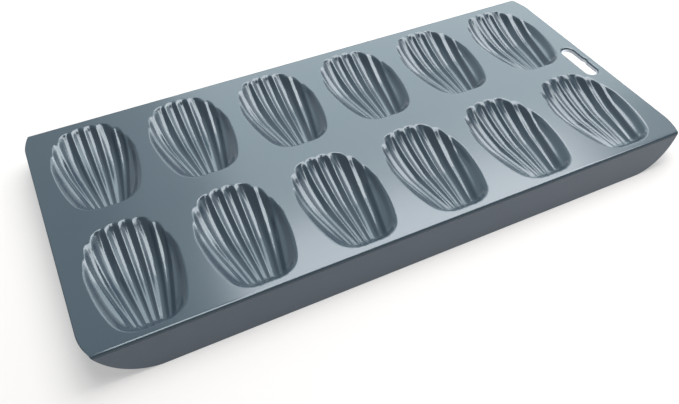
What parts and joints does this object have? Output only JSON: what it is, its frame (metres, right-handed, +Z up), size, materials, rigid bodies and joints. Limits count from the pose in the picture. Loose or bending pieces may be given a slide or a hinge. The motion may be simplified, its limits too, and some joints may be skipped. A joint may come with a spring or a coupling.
{
  "type": "madeleine pan",
  "caption": "Shallow baking pan pressed from coated steel sheet: fluted shell-shaped cups in rows, a flat deck, turned-down side skirts and a lipped hang slot at one end.",
  "frame": {"origin": "middle of the pan, on the plane that the lower edges of its skirts stand on", "axes": "+X along the pan towards the end with the hang slot, +Y across it towards the cups' fan-shaped ends, +Z up out of the cups"},
  "size_m": [0.4, 0.1982, 0.022],
  "materials": {
    "deck_coating": "semi-gloss blue-grey non-stick coating",
    "skirt_coating": "satin dark grey non-stick coating"
  },
  "bodies": {
    "root": {"deck": "deck_coating", "front_skirt": "skirt_coating", "rear_skirt": "skirt_coating", "hang_slot_lip": "deck_coating", "front_cup_1": "deck_coating", "front_cup_2": "deck_coating", "front_cup_3": "deck_coating", "front_cup_4": "deck_coating", "front_cup_5": "deck_coating", "front_cup_6": "deck_coating", "rear_cup_1": "deck_coating", "rear_cup_2": "deck_coating", "rear_cup_3": "deck_coating", "rear_cup_4": "deck_coating", "rear_cup_5": "deck_coating", "rear_cup_6": "deck_coating"}
  },
  "joints": []
}
